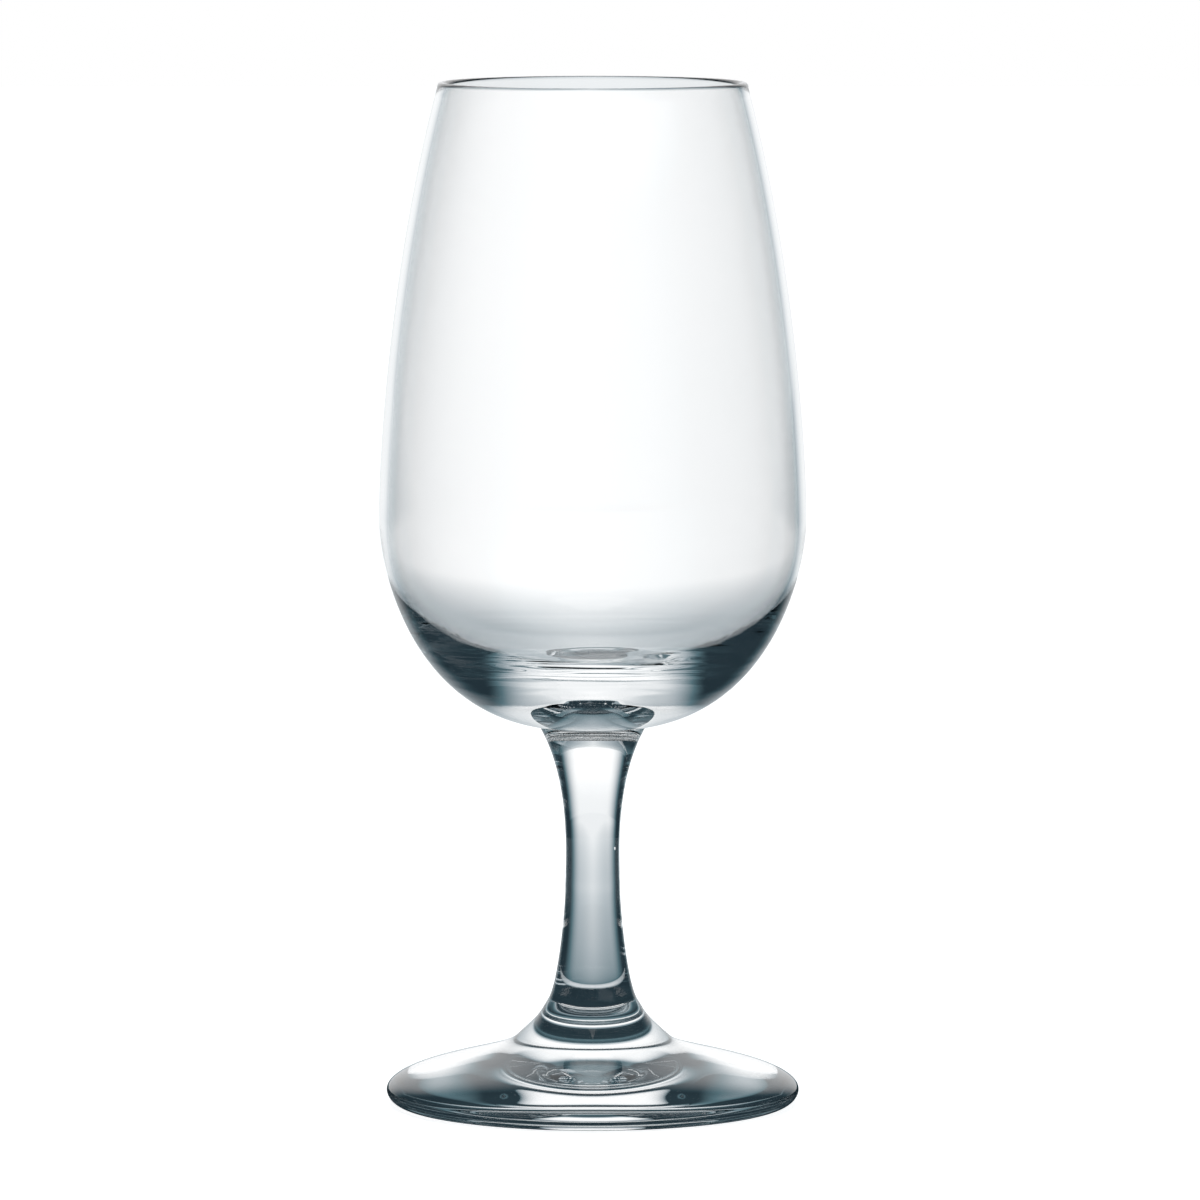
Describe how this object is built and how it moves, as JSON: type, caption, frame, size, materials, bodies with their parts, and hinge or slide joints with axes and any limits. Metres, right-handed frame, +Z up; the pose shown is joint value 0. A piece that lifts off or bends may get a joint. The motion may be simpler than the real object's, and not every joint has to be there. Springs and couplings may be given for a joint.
{
  "type": "sherry glass",
  "caption": "Clear stemmed tasting glass: tulip bowl narrowing to a fire-polished rim, short waisted stem and disc foot, for fortified wine.",
  "frame": {"origin": "on the table, under the middle of the foot", "axes": "+Z up along the glass's axis of revolution, from the foot to the mouth; X and Y level and alike"},
  "size_m": [0.0532, 0.0532, 0.1275],
  "materials": {
    "clear_glass": "clear, fire-polished"
  },
  "bodies": {
    "root": {"bowl": "clear_glass", "stem": "clear_glass", "foot": "clear_glass"}
  },
  "joints": []
}
